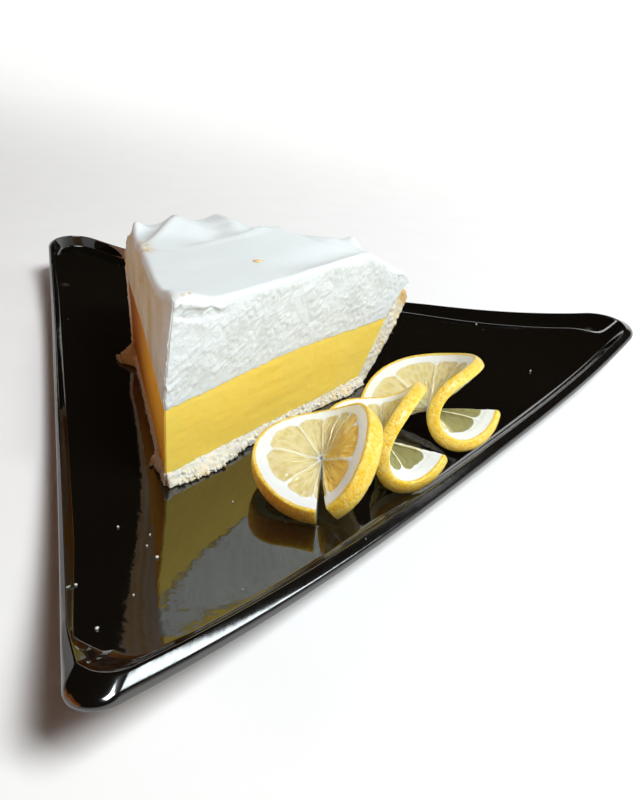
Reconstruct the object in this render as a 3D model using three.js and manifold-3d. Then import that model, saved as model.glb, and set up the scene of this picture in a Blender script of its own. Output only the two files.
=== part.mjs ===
/*
 * A slice of lemon meringue pie, plated: a black triangular plate with lifted
 * corners, the slice (shortcrust, lemon filling, meringue) and three twisted
 * wheels of lemon. Millimetres, +Z up. The model is built about the centre of
 * the plate's triangle, and the whole group is moved at the end so that its
 * origin is the middle of the footprint, on the surface it stands on.
 */
import * as THREE from 'three';
import { ImprovedNoise } from 'three/addons/math/ImprovedNoise.js';
import { mergeVertices } from 'three/addons/utils/BufferGeometryUtils.js';
import Module from 'manifold-3d';

const wasm = await Module();
wasm.setup();

// ---------------------------------------------------------------- dimensions

const GAP = 0.3; // clearance kept between pieces that rest on each other

// Plate: an equilateral triangle with rounded corners.
const PLATE_SIDE = 308.5;
const PLATE_CORNERS = [
  { angle: 30, radius: 16 },
  { angle: 150, radius: 15 },
  { angle: 270, radius: 6 },
];
const FLOOR_Z = 6; // top of the flat floor above the table
const FLOOR_THICKNESS = 4.4;
const LIP_INSET = 1.2; // the lip's highest line, inside the outline
const LIP_THICKNESS = 2.8;
const DISH = { reach: 36, rise: 1.3 }; // the floor's slow climb towards the edge
const ROLL = { reach: 7, rise: 3 }; // the quick climb just inside the lip
const CORNER_RISE = 14.1; // how much further the corners lift
const CORNER_BEND = { start: 0.3, power: 2.3, blend: 30 }; // where and how they bend up
const FOOT_INSET = 31;
const FOOT_WIDTH = 5;
const CORNER_STEPS = 8;
const SIDE_STEPS = 12;

// Slice: cut from a nine-inch pie. Radii are measured from its tip, heights
// from the plate's floor.
const TIP = { x: -17.5, y: -91.3 };
const SLICE_TURN = 0.7; // degrees the slice's axis is turned from +Y
const HALF_ANGLE = 28.4;
const TIP_RADIUS = 1.2;
const CRUST_BASE = 4.1;
const WALL_FOOT_RADIUS = 94;
const FILLING_RADIUS = 108.2;
const FILLING_TOP = 25.2;
const FILLING_CROWN = 1.9;
const RIM_INNER = { r: 115.2, z: 32 };
const RIM_TOP = { r: 118.6, z: 33.7 };
const RIM_OUTER = { r: 122.2, z: 29.6 };
const CRUST_FOOT_RADIUS = 97.4;
const ACROSS_STEPS = 12;

// Meringue
const MERINGUE_TOP = 51.6;
const MERINGUE_EDGE = { r: 117.2, z: 39.8 };
const BULGE = { r: 121.2, z: 36 };
const SHOULDER = { start: 86, end: 124 };
const TIP_RISE = 3.6;
const TIP_LEAN = { reach: 3.4, fade: 18 }; // how the tip falls back as it rises
// Swirls left by the spatula. Each is a crest that runs inwards from its tip
// through stations [radius, angle], steep to its left and gentle to its right,
// with a groove swept out beside the steep side and a nub pulled up at the tip.
const SWIRLS = [
  {
    line: [[90.7, 27.3], [80, 28.4], [70, 29]],
    rise: 2, nub: 1.4, steep: 5, gentle: 9.4, groove: 0, reach: 8,
  },
  {
    line: [[101.4, 19], [90, 18.6], [72, 22.3], [58, 27]],
    rise: 3.4, nub: 1, steep: 4.3, gentle: 14, groove: 3.4, reach: 8,
  },
  {
    line: [[107.6, 10.2], [97, 6], [88, 5], [78, 6]],
    rise: 6.1, nub: 1, steep: 7.3, gentle: 14.4, groove: 1.2, reach: 8,
  },
  {
    line: [[97.8, -3.9], [90, -2.6], [80, 0.9], [68, 7.5], [58, 15]],
    rise: 1.6, nub: 1, steep: 3.6, gentle: 18.8, groove: 3.6, reach: 9,
  },
  {
    line: [[106.3, -16], [92, -15]],
    rise: 4.2, nub: 0, steep: 11.8, gentle: 11.6, groove: 0, reach: 8,
  },
  {
    line: [[106.1, -19.2], [102, -24.5], [92, -27], [78, -27.4], [62, -27], [48, -28]],
    rise: 0.8, nub: 3, steep: 3.7, gentle: 5, groove: 2.2, reach: 7,
  },
];
const NUB_RADIUS = 3;

// Lemon wheels, each slit to its centre and twisted. `bends` is how hard the
// wheel curls, at equal steps from one side of the slit round to the other.
const HUB_RADIUS = 2.8;
const HUB_THICKNESS = 1.6;
const TWISTS = [
  {
    name: 'lemon_twist_front', radius: 20.1, thickness: 6, centre: [24.3, -78.3],
    tilt: [-74.7, -16.6, -30.1], sweep: [193, 163],
    bends: [-0.58, 0.37, 0.15, -0.1, -1.11, 0.24, 0.39, 0.17, -0.85],
  },
  {
    name: 'lemon_twist_middle', radius: 21.3, thickness: 4.3, centre: [40.3, -56.2],
    tilt: [-78, -18.3, -19.2], sweep: [92, 244],
    bends: [0.71, 1.03, 0.7, -0.81, -1.56, -0.06, 0.06, 2.41, -0.31],
  },
  {
    name: 'lemon_twist_back', radius: 24.1, thickness: 4, centre: [53.4, -31.1],
    tilt: [-38.2, 17.3, -90.3], sweep: [176, 172],
    bends: [-1.82, 0.34, -0.13, -1.07, -0.53, -0.2, 2.72, 1.21, 0.11],
  },
];
const WHEEL_STEPS = 44;

// -------------------------------------------------------------- small helpers

const rad = THREE.MathUtils.degToRad;
const lerp = THREE.MathUtils.lerp;
const smooth = THREE.MathUtils.smoothstep;
const perlin = new ImprovedNoise();

/** Layered noise, about -1 to 1, with features `size` mm across. */
function noise(x, y, z, size) {
  const s = 1 / size;
  const coarse = perlin.noise(x * s + 11.3, y * s + 4.7, z * s + 7.9);
  const fine = perlin.noise(x * s * 2.3 + 3.1, y * s * 2.3 + 9.2, z * s * 2.3 + 1.4);
  return coarse + fine * 0.5;
}

/** A closed mesh from a list of [x, y, z] points and triangles of indices. */
function closedGeometry(points, triangles) {
  const geometry = new THREE.BufferGeometry();
  geometry.setAttribute('position', new THREE.Float32BufferAttribute(points.flat(), 3));
  geometry.setIndex(triangles.flat());
  return geometry;
}

/**
 * The skin of a block of nu x nv x nw cells, each corner placed by
 * place(u, v, w) with u, v and w from 0 to 1. The three directions make a
 * right-handed set, so that the faces point out.
 */
function blockGeometry(nu, nv, nw, place) {
  const points = [];
  const triangles = [];
  const seen = new Map();
  const corner = (i, j, k) => {
    const key = (i * (nv + 1) + j) * (nw + 1) + k;
    if (!seen.has(key)) {
      seen.set(key, points.length);
      points.push(place(i / nu, j / nv, k / nw));
    }
    return seen.get(key);
  };
  const quad = (a, b, c, d) => triangles.push([a, b, c], [a, c, d]);
  for (let i = 0; i < nu; i++) {
    for (let j = 0; j < nv; j++) {
      quad(corner(i, j, nw), corner(i + 1, j, nw), corner(i + 1, j + 1, nw), corner(i, j + 1, nw));
      quad(corner(i, j, 0), corner(i, j + 1, 0), corner(i + 1, j + 1, 0), corner(i + 1, j, 0));
    }
    for (let k = 0; k < nw; k++) {
      quad(corner(i, 0, k), corner(i + 1, 0, k), corner(i + 1, 0, k + 1), corner(i, 0, k + 1));
      quad(corner(i, nv, k), corner(i, nv, k + 1), corner(i + 1, nv, k + 1), corner(i + 1, nv, k));
    }
  }
  for (let j = 0; j < nv; j++) {
    for (let k = 0; k < nw; k++) {
      quad(corner(0, j, k), corner(0, j, k + 1), corner(0, j + 1, k + 1), corner(0, j + 1, k));
      quad(corner(nu, j, k), corner(nu, j + 1, k), corner(nu, j + 1, k + 1), corner(nu, j, k + 1));
    }
  }
  return closedGeometry(points, triangles);
}

/** A three.js geometry as a manifold-3d solid, and back. */
function toSolid(geometry) {
  const bare = geometry.clone();
  bare.deleteAttribute('normal');
  bare.deleteAttribute('uv');
  const merged = mergeVertices(bare, 1e-4);
  return new wasm.Manifold(new wasm.Mesh({
    numProp: 3,
    vertProperties: new Float32Array(merged.attributes.position.array),
    triVerts: new Uint32Array(merged.index.array),
  }));
}

function toGeometry(solid) {
  const mesh = solid.getMesh();
  const geometry = new THREE.BufferGeometry();
  geometry.setAttribute('position', new THREE.BufferAttribute(mesh.vertProperties, 3));
  geometry.setIndex(new THREE.BufferAttribute(mesh.triVerts, 1));
  return geometry;
}

function namedMesh(name, geometry, material) {
  geometry.computeVertexNormals();
  const mesh = new THREE.Mesh(geometry, material);
  mesh.name = name;
  return mesh;
}

// ---------------------------------------------------------------------- plate

const PLATE_REACH = PLATE_SIDE / Math.sqrt(3); // centre to a sharp corner
const PLATE_HALF_DEPTH = PLATE_REACH / 2; // centre to the middle of a side

/** How far a point lies from the centre towards each of the three corners. */
function towardsCorners(x, y) {
  return PLATE_CORNERS.map(({ angle }) => x * Math.cos(rad(angle)) + y * Math.sin(rad(angle)));
}

/** Distance of a point from the nearest side, inside the plate. */
const insetAt = (x, y) => PLATE_HALF_DEPTH + Math.min(...towardsCorners(x, y));

/**
 * Height of the upper face. The floor is flat in the middle, climbs slowly and
 * then quickly to the lip, and each corner is bent up as a sheet would be.
 */
function plateTop(x, y, inset) {
  const reach = Math.max(...towardsCorners(x, y)) / (1 - LIP_INSET / PLATE_HALF_DEPTH);
  const corner = Math.max(0, (reach / PLATE_REACH - 0.25) / 0.75); // 0 mid-side, 1 at a sharp corner
  const { start, power, blend } = CORNER_BEND;
  const inner = Math.max(0, (corner - start) / (1 - start)) ** power;
  const bend = CORNER_RISE * lerp(inner, corner ** 3, Math.max(0, 1 - inset / blend) ** 2);
  const climb = ({ reach: width, rise }, exponent) => (
    rise * Math.max(0, (width - inset) / (width - LIP_INSET)) ** exponent
  );
  return FLOOR_Z + bend + climb(DISH, 3) + climb(ROLL, 2);
}

/** The plate's outline seen from above: arcs at the corners, straight sides. */
function plateOutline() {
  const arcs = PLATE_CORNERS.map(({ angle, radius }) => {
    const centre = PLATE_REACH - 2 * radius;
    return Array.from({ length: CORNER_STEPS + 1 }, (_, i) => {
      const a = rad(angle - 60 + (120 * i) / CORNER_STEPS);
      return [
        centre * Math.cos(rad(angle)) + radius * Math.cos(a),
        centre * Math.sin(rad(angle)) + radius * Math.sin(a),
      ];
    });
  });
  return arcs.flatMap((arc, i) => {
    const from = arc[CORNER_STEPS];
    const to = arcs[(i + 1) % arcs.length][0];
    const side = Array.from({ length: SIDE_STEPS - 1 }, (_, k) => {
      const t = (k + 1) / SIDE_STEPS;
      return [lerp(from[0], to[0], t), lerp(from[1], to[1], t)];
    });
    return [...arc, ...side];
  });
}

/** The plate as rings of the outline, drawn in towards the centre. */
function plateGeometry() {
  const outline = plateOutline();
  const under = FLOOR_Z - FLOOR_THICKNESS;
  const upper = (inset) => [inset, (x, y) => plateTop(x, y, inset)];
  const belowLip = (inset, drop) => [inset, (x, y) => plateTop(x, y, LIP_INSET) - drop];
  const lower = (inset, thickness) => [inset, (x, y) => plateTop(x, y, inset) - thickness];
  const level = (inset, height) => [inset, () => height];
  const rings = [ // inset from the outline and height, out over the top and back underneath
    ...[45, 36, 29, 22, 15, 10, ROLL.reach, 3.6, LIP_INSET].map(upper),
    belowLip(0.1, 1.1),
    belowLip(0.2, LIP_THICKNESS - 0.9),
    belowLip(1.6, LIP_THICKNESS),
    lower(5, 3.4),
    ...[10, 18, 26, FOOT_INSET].map((inset) => lower(inset, FLOOR_THICKNESS)),
    level(FOOT_INSET + 1, 0),
    level(FOOT_INSET + FOOT_WIDTH, 0),
    level(FOOT_INSET + FOOT_WIDTH + 1, under - 0.4),
  ];
  const count = outline.length;
  const points = rings.flatMap(([inset, height]) => outline.map(([ox, oy]) => {
    const scale = 1 - inset / PLATE_HALF_DEPTH;
    const [x, y] = [ox * scale, oy * scale];
    return [x, y, height(x, y)];
  }));
  const triangles = [];
  for (let r = 0; r < rings.length - 1; r++) {
    for (let i = 0; i < count; i++) {
      const next = (i + 1) % count;
      const [a, b] = [r * count + i, r * count + next];
      triangles.push([a, a + count, b + count], [a, b + count, b]);
    }
  }
  const top = points.push([0, 0, FLOOR_Z]) - 1;
  const bottom = points.push([0, 0, under - 0.4]) - 1;
  const last = (rings.length - 1) * count;
  for (let i = 0; i < count; i++) {
    const next = (i + 1) % count;
    triangles.push([top, i, next], [bottom, last + next, last + i]);
  }
  return closedGeometry(points, triangles);
}

// ---------------------------------------------------------------------- slice

/** A point of the slice at radius r and angle `a` (degrees) from its axis. */
function slicePoint(r, a, z) {
  return [-r * Math.sin(rad(a)), r * Math.cos(rad(a)), z];
}

/** v = 0 is the right cut face, v = 1 the left one. */
const sliceAngle = (v) => lerp(-HALF_ANGLE, HALF_ANGLE, v);

/** Moves a point of a cut face outwards, square to that face. */
function proud([x, y, z], v, distance) {
  if (v > 0 && v < 1) return [x, y, z];
  const side = v === 0 ? 1 : -1;
  const face = rad(sliceAngle(v));
  return [x + side * Math.cos(face) * distance, y + side * Math.sin(face) * distance, z];
}

/** Height of the filling, which crowns a little half way out. */
function fillingTop(r) {
  const share = Math.min(1, r / FILLING_RADIUS);
  return FILLING_TOP + FILLING_CROWN * Math.sin(Math.PI * share) ** 2;
}

/** Radius of the crust's inner wall at height z. */
function wallRadius(z) {
  return lerp(WALL_FOOT_RADIUS, FILLING_RADIUS, (z - CRUST_BASE) / (FILLING_TOP - CRUST_BASE));
}

/** How far the crumbling foot of the crust stands out of a cut face. */
function ledge(r, v) {
  const crumble = 0.6 * noise(r, v * 40, 0, 5);
  if (v === 0) {
    return 1.2 + 3.6 * Math.exp(-(((r - 16) / 13) ** 2)) + crumble;
  }
  const flake = 6.5 * Math.exp(-(((r - 89) / 4.5) ** 2));
  const chip = 2.8 * Math.exp(-(((r - 12) / 4) ** 2));
  return 1.0 + flake + chip + crumble;
}

/** Crust: the base and the leaning wall are one L-shaped sheet of pastry. */
function crustGeometry() {
  const BASE_SHARE = 0.7; // of the steps, the rest climb the wall
  const profile = (u) => {
    if (u <= BASE_SHARE) {
      const t = u / BASE_SHARE;
      return {
        outer: [lerp(TIP_RADIUS, CRUST_FOOT_RADIUS, t), 0],
        inner: [lerp(TIP_RADIUS, WALL_FOOT_RADIUS, t), CRUST_BASE],
      };
    }
    const t = (u - BASE_SHARE) / (1 - BASE_SHARE);
    const belly = 1.8 * Math.sin(Math.PI * t) ** 1.2;
    return {
      outer: [
        lerp(CRUST_FOOT_RADIUS, RIM_OUTER.r, t) + belly * 0.6,
        lerp(0, RIM_OUTER.z, t) - belly * 0.4,
      ],
      inner: [lerp(WALL_FOOT_RADIUS, RIM_INNER.r, t), lerp(CRUST_BASE, RIM_INNER.z, t)],
    };
  };
  return blockGeometry(40, ACROSS_STEPS, 2, (u, v, w) => {
    const { outer, inner } = profile(u);
    let r = lerp(outer[0], inner[0], w);
    let z = lerp(outer[1], inner[1], w);
    if (u === 1 && w === 0.5) {
      r = RIM_TOP.r;
      z = RIM_TOP.z;
    }
    const angle = sliceAngle(v);
    const onFace = v === 0 || v === 1;
    if (w < 1 && u > BASE_SHARE) {
      r += 0.9 * noise(r * 0.7, angle * 1.8, z, 7);
    }
    if (u === 1 && w === 0.5) {
      z += 0.8 * noise(angle * 1.9, 3, 0, 9);
    }
    const point = slicePoint(r, angle, z);
    if (!onFace) return point;
    const base = u <= BASE_SHARE ? 1 : 0.35;
    return proud(point, v, (1 - w) * base * ledge(r, v) + 0.25 * w);
  });
}

/** Filling: set lemon curd up to the foot of the meringue. */
function fillingGeometry() {
  const bottom = CRUST_BASE + GAP;
  return blockGeometry(14, ACROSS_STEPS, 1, (u, v, w) => {
    const edge = lerp(wallRadius(bottom), wallRadius(FILLING_TOP), w) - GAP;
    const r = lerp(TIP_RADIUS, edge, u);
    const z = lerp(bottom, fillingTop(r), w);
    return slicePoint(r, sliceAngle(v), z);
  });
}

/** The nearest point of a broken line: distance, side (left is positive), share. */
function nearestOnLine(points, x, y) {
  const spans = points.slice(1).map((to, i) => {
    const from = points[i];
    const length = Math.hypot(to[0] - from[0], to[1] - from[1]);
    return { from, length, dx: (to[0] - from[0]) / length, dy: (to[1] - from[1]) / length };
  });
  const total = spans.reduce((sum, span) => sum + span.length, 0);
  let before = 0;
  let nearest = { distance: Infinity, side: 1, share: 0 };
  for (const { from, length, dx, dy } of spans) {
    const [px, py] = [x - from[0], y - from[1]];
    const along = THREE.MathUtils.clamp(px * dx + py * dy, 0, length);
    const distance = Math.hypot(px - dx * along, py - dy * along);
    if (distance < nearest.distance) {
      nearest = { distance, side: dx * py - dy * px, share: (before + along) / total };
    }
    before += length;
  }
  return nearest;
}

/** Height that one swirl adds at (x, y). */
function swirlHeight(swirl, x, y) {
  const points = swirl.line.map(([r, angle]) => slicePoint(r, angle, 0));
  const { distance, side, share } = nearestOnLine(points, x, y);
  const steepSide = side < 0;
  const width = steepSide ? swirl.steep : swirl.gentle;
  const crest = swirl.rise * (1 - share ** 1.5) * Math.exp(-((distance / width) ** 1.5));
  const middle = Math.sin(Math.PI * share ** 0.75);
  const fromGroove = (steepSide ? distance : -distance) - 1.1 * swirl.reach;
  const groove = swirl.groove * middle * Math.exp(-((fromGroove / swirl.reach) ** 2));
  const lip = 0.35 * swirl.groove * middle * Math.exp(-((distance / 2.2) ** 2));
  const toTip = Math.hypot(x - points[0][0], y - points[0][1]);
  return crest - groove + lip + swirl.nub * Math.exp(-((toTip / NUB_RADIUS) ** 2));
}

/** Height of the meringue's top. */
function meringueTop(r, angle) {
  const [x, y] = slicePoint(r, angle, 0);
  const drop = (MERINGUE_TOP - MERINGUE_EDGE.z) * smooth(r, SHOULDER.start, SHOULDER.end);
  const tip = TIP_RISE * Math.exp(-(((r - 5) / 9) ** 2));
  const swirls = SWIRLS.reduce((sum, swirl) => sum + swirlHeight(swirl, x, y), 0);
  return MERINGUE_TOP - drop + tip + swirls * (1 - smooth(r, 111, 117));
}

/** Meringue: lies on the filling, laps over the rim and stands in swirls. */
function meringueGeometry() {
  const foot = { r: FILLING_RADIUS, z: FILLING_TOP + GAP };
  const outerEnd = (w, angle) => {
    const stations = [
      [foot.r, foot.z],
      [RIM_INNER.r - 0.4, RIM_INNER.z + GAP],
      [RIM_TOP.r, RIM_TOP.z + 1.5],
      [BULGE.r, BULGE.z],
      [MERINGUE_EDGE.r + 1.8, lerp(BULGE.z, MERINGUE_EDGE.z, 0.7)],
      [MERINGUE_EDGE.r, meringueTop(MERINGUE_EDGE.r, angle)],
    ];
    const s = w * (stations.length - 1);
    const i = Math.min(stations.length - 2, Math.floor(s));
    return [0, 1].map((c) => lerp(stations[i][c], stations[i + 1][c], s - i));
  };
  return blockGeometry(36, 26, 5, (u, v, w) => {
    const angle = sliceAngle(v);
    const share = u ** 0.85;
    const low = lerp(TIP_RADIUS, foot.r, share);
    const high = lerp(TIP_RADIUS, MERINGUE_EDGE.r, share);
    const flat = [lerp(low, high, w), lerp(fillingTop(low) + GAP, meringueTop(high, angle), w)];
    const end = outerEnd(w, angle);
    const edgeTop = meringueTop(MERINGUE_EDGE.r, angle);
    const straight = [lerp(foot.r, MERINGUE_EDGE.r, w), lerp(foot.z, edgeTop, w)];
    const blend = smooth(share, 0.82, 1);
    const r = flat[0] + blend * (end[0] - straight[0]);
    const z = flat[1] + blend * (end[1] - straight[1]);
    const [x, y] = slicePoint(r, angle, z);
    const lean = TIP_LEAN.reach * w ** 1.4 * Math.exp(-(r - TIP_RADIUS) / TIP_LEAN.fade);
    const rough = 0.35 * noise(r, z, v * 50, 5) * Math.sin(Math.PI * w) * smooth(r, 2, 8);
    const face = rad(HALF_ANGLE);
    return proud([x + Math.sin(face) * lean, y + Math.cos(face) * lean, z], v, rough);
  });
}

// --------------------------------------------------------------------- lemons

/**
 * A wheel of lemon, slit to its centre and twisted. Straight lines run from
 * the centre to the rind; each next line is reached by turning the frame
 * (line, rim direction, face normal), and `bends` tips the face as it goes.
 */
function wheelFrames({ tilt, sweep, bends }) {
  const half = WHEEL_STEPS / 2;
  const turn = new THREE.Vector3(...tilt.map(rad));
  const start = new THREE.Matrix4().makeRotationAxis(turn.clone().normalize(), turn.length());
  const first = new THREE.Matrix4().makeBasis(
    new THREE.Vector3(0, 0, 1), new THREE.Vector3(1, 0, 0), new THREE.Vector3(0, 1, 0),
  ).premultiply(start);
  const bendAt = (s) => {
    const t = ((s + 1) / 2) * (bends.length - 1);
    const i = Math.min(bends.length - 2, Math.floor(t));
    return lerp(bends[i], bends[i + 1], t - i);
  };
  const frames = new Array(WHEEL_STEPS + 1);
  frames[half] = first;
  for (const side of [-1, 1]) {
    const span = rad(side < 0 ? sweep[0] : sweep[1]);
    for (let i = 0; i < half; i++) {
      const s = (side * (i + 0.5)) / half;
      const spin = new THREE.Vector3(bendAt(s), 0, 1);
      const step = (side * span) / half;
      const local = new THREE.Matrix4().makeRotationAxis(spin.clone().normalize(), spin.length() * step);
      frames[half + side * (i + 1)] = frames[half + side * i].clone().multiply(local);
    }
  }
  return frames;
}

function twistGeometry(twist) {
  const frames = wheelFrames(twist);
  const inner = HUB_RADIUS - 0.6;
  const strip = blockGeometry(3, WHEEL_STEPS, 1, (u, v, w) => {
    const frame = frames[Math.round(v * WHEEL_STEPS)];
    const r = lerp(inner, twist.radius, u);
    const thick = lerp(HUB_THICKNESS, twist.thickness, smooth(r, inner, twist.radius * 0.6));
    return new THREE.Vector3(r, 0, (w - 0.5) * thick).applyMatrix4(frame).toArray();
  });
  const hub = new THREE.IcosahedronGeometry(HUB_RADIUS, 1);
  const geometry = toGeometry(toSolid(strip).add(toSolid(hub)));
  geometry.translate(twist.centre[0], twist.centre[1], 0);
  geometry.translate(0, 0, heightOverPlate(geometry));
  return geometry;
}

/** How far a shape must be raised to stand clear of the plate by the usual gap. */
function heightOverPlate(geometry) {
  const { array } = geometry.attributes.position;
  let raise = -Infinity;
  for (let i = 0; i < array.length; i += 3) {
    const [x, y, z] = array.slice(i, i + 3);
    raise = Math.max(raise, plateTop(x, y, insetAt(x, y)) + GAP - z);
  }
  return raise;
}

// ------------------------------------------------------------------- assembly

const materials = {
  glaze: new THREE.MeshStandardMaterial({ color: 0x12100c, roughness: 0.08, metalness: 0 }),
  pastry: new THREE.MeshStandardMaterial({ color: 0xe6dcc0, roughness: 0.9, metalness: 0 }),
  curd: new THREE.MeshStandardMaterial({ color: 0xefcb4f, roughness: 0.4, metalness: 0 }),
  meringue: new THREE.MeshStandardMaterial({ color: 0xf2f6f4, roughness: 0.6, metalness: 0 }),
  lemon: new THREE.MeshStandardMaterial({ color: 0xf0cf4a, roughness: 0.4, metalness: 0 }),
};

const pie = new THREE.Group();
pie.add(namedMesh('plate', plateGeometry(), materials.glaze));

const slice = new THREE.Group();
slice.position.set(TIP.x, TIP.y, FLOOR_Z + GAP);
slice.rotation.z = rad(SLICE_TURN);
slice.add(namedMesh('crust', crustGeometry(), materials.pastry));
slice.add(namedMesh('filling', fillingGeometry(), materials.curd));
slice.add(namedMesh('meringue', meringueGeometry(), materials.meringue));
pie.add(slice);

for (const twist of TWISTS) {
  pie.add(namedMesh(twist.name, twistGeometry(twist), materials.lemon.clone()));
}

pie.updateMatrixWorld(true);
const footprint = new THREE.Box3().setFromObject(pie);
pie.position.x = -(footprint.min.x + footprint.max.x) / 2;
pie.position.y = -(footprint.min.y + footprint.max.y) / 2;

export default pie;
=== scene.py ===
import math

import bmesh
import bpy
import numpy as np
from mathutils import Euler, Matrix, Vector


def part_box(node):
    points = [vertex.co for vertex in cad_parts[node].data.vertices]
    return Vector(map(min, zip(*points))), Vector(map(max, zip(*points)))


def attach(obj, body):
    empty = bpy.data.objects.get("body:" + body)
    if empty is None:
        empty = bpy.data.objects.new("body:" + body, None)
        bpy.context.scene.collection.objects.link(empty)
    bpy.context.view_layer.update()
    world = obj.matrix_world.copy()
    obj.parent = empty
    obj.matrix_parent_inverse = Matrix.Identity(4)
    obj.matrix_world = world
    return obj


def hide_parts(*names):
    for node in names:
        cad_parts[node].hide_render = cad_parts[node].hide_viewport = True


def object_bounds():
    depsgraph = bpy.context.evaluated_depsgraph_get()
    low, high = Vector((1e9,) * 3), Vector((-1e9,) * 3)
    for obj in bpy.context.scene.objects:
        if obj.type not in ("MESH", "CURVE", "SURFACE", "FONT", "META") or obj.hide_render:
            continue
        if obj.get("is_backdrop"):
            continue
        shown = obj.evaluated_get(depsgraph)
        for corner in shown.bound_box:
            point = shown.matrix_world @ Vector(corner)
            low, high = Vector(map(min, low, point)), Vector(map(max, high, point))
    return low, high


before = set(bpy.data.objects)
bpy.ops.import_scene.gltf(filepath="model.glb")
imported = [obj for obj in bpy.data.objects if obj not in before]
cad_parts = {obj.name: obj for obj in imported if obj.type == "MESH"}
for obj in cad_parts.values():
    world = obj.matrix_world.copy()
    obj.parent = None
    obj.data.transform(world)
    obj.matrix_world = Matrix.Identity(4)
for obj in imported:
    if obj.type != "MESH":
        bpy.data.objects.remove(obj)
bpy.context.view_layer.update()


# ------------------------------------------------------------------ table and light
# A pale matt table top that curves up into a low screen all round. The key light is a soft
# box high on the right; a warm lamp low on the left fills the shaded side, a narrow strip
# draws the bright line on the plate's lip, and one panel lights only the screen.

def linear(hex_colour):
    """An sRGB hex colour as linear red, green, blue and alpha."""
    parts = [int(hex_colour[i:i + 2], 16) / 255 for i in (1, 3, 5)]
    return [p / 12.92 if p <= 0.04045 else ((p + 0.055) / 1.055) ** 2.4 for p in parts] + [1.0]


def add(tree, kind, inputs=None, **settings):
    """Adds a shader node. Each input is a value, a hex colour, a socket or a node's first output."""
    node = tree.nodes.new("ShaderNode" + kind)
    for name, value in settings.items():
        setattr(node, name, value)
    for name, value in (inputs or {}).items():
        if isinstance(value, bpy.types.Node):
            value = value.outputs[0]
        elif isinstance(value, str):
            value = linear(value)
        if isinstance(value, bpy.types.NodeSocket):
            tree.links.new(value, node.inputs[name])
        else:
            node.inputs[name].default_value = value
    return node


def start_material(name):
    """An empty material, its node tree and the point in object space."""
    material = bpy.data.materials.new(name)
    material.use_nodes = True
    tree = material.node_tree
    tree.nodes.clear()
    return material, tree, add(tree, "TexCoord").outputs["Object"]


def mesh_piece(name, points, faces, material):
    """A smooth-shaded mesh object from points in millimetres in the row frame."""
    mesh = bpy.data.meshes.new(name)
    faces = faces if isinstance(faces, list) else faces.tolist()
    mesh.from_pydata((np.asarray(points) / 1000).tolist(), [], faces)
    mesh.polygons.foreach_set("use_smooth", [True] * len(mesh.polygons))
    mesh.materials.append(material)
    mesh.update()
    piece = bpy.data.objects.new(name, mesh)
    bpy.context.scene.collection.objects.link(piece)
    return piece


def ring_faces(rings, count):
    """Quads between rings of `count` points each, closed round."""
    i = np.arange(rings - 1)[:, None] * count
    j = np.arange(count)[None, :]
    k = (j + 1) % count
    quads = np.stack([i + j, i + count + j, i + count + k, i + k], -1)
    return quads.reshape(-1, 4)


TABLE_FLAT = 950.0  # radius of the flat part
TABLE_EDGE = 1600.0
SCREEN_HEIGHT = 430.0
TABLE_STEPS = 90

# Matt paint spreads the light evenly, with no gloss and only a faint grain.
table_paint, tree, place = start_material("matt_white_paint")
grain = add(tree, "TexNoise", {"Vector": place, "Scale": 1000 / 30, "Detail": 3.0})
tint = add(tree, "MixRGB", {"Fac": grain, "Color1": "#f7f5f1", "Color2": "#fcfaf7"})
paint = add(tree, "BsdfPrincipled", {"Base Color": tint, "Roughness": 0.85})
add(tree, "OutputMaterial", {"Surface": paint})
table_rings = []
turns = np.radians(np.arange(0, 360, 360 // TABLE_STEPS))
for radius in np.concatenate([np.linspace(60, TABLE_FLAT, 8), np.linspace(TABLE_FLAT, TABLE_EDGE, 24)[1:]]):
    lift = max(0.0, (radius - TABLE_FLAT) / (TABLE_EDGE - TABLE_FLAT))
    height = np.full(len(turns), SCREEN_HEIGHT * lift ** 2)
    table_rings.append(np.stack([radius * np.cos(turns), radius * np.sin(turns), height], -1))
table_points = np.concatenate(table_rings)
table_faces = ring_faces(len(table_rings), TABLE_STEPS)[:, ::-1].tolist() + [list(range(TABLE_STEPS))]
table = mesh_piece("table", table_points, table_faces, table_paint)
table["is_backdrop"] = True

world = bpy.data.worlds.new("dim_room")
world.use_nodes = True
world.node_tree.nodes["Background"].inputs["Color"].default_value = linear("#6b5a48")
world.node_tree.nodes["Background"].inputs["Strength"].default_value = 0.10
bpy.context.scene.world = world

# name, position and target in metres, width and height of the panel, power, colour
LIGHTS = [
    ("soft_box", (0.60, -0.24, 1.00), (0.0, 0.0, 0.03), 0.45, 0.45, 16.2, "#f6fbff"),
    ("window_strip", (0.834, 0.184, 0.504), (0.012, -0.115, 0.019), 0.24, 0.12, 1.0, "#f2fcff"),
    ("warm_lamp", (-0.66, -0.46, 0.20), (-0.02, -0.03, 0.03), 0.80, 0.50, 0.90, "#ff9330"),
    ("screen_light", (0.0, 0.80, 0.90), (0.0, 1.50, 0.20), 2.2, 0.6, 13.0, "#fbfdff"),
]
for name, position, target, width, height, power, colour in LIGHTS:
    lamp = bpy.data.lights.new(name, "AREA")
    lamp.shape = "RECTANGLE"
    lamp.size = width
    lamp.size_y = height
    lamp.energy = power
    lamp.color = linear(colour)[:3]
    lamp_object = bpy.data.objects.new(name, lamp)
    lamp_object.location = position
    towards = Vector(target) - Vector(position)
    lamp_object.rotation_euler = towards.to_track_quat("-Z", "Y").to_euler()
    bpy.context.scene.collection.objects.link(lamp_object)

camera = bpy.data.objects.new("camera", bpy.data.cameras.new("camera"))
camera.location = (0.043526, -0.199177, 0.121062)
camera.rotation_euler = Euler([math.radians(a) for a in (62.1236, -5.4161, 10.3383)])
camera.data.lens = 30.59
camera.data.clip_start = 0.01
bpy.context.scene.collection.objects.link(camera)
bpy.context.scene.camera = camera
bpy.context.scene.view_settings.view_transform = "Standard"


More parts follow.
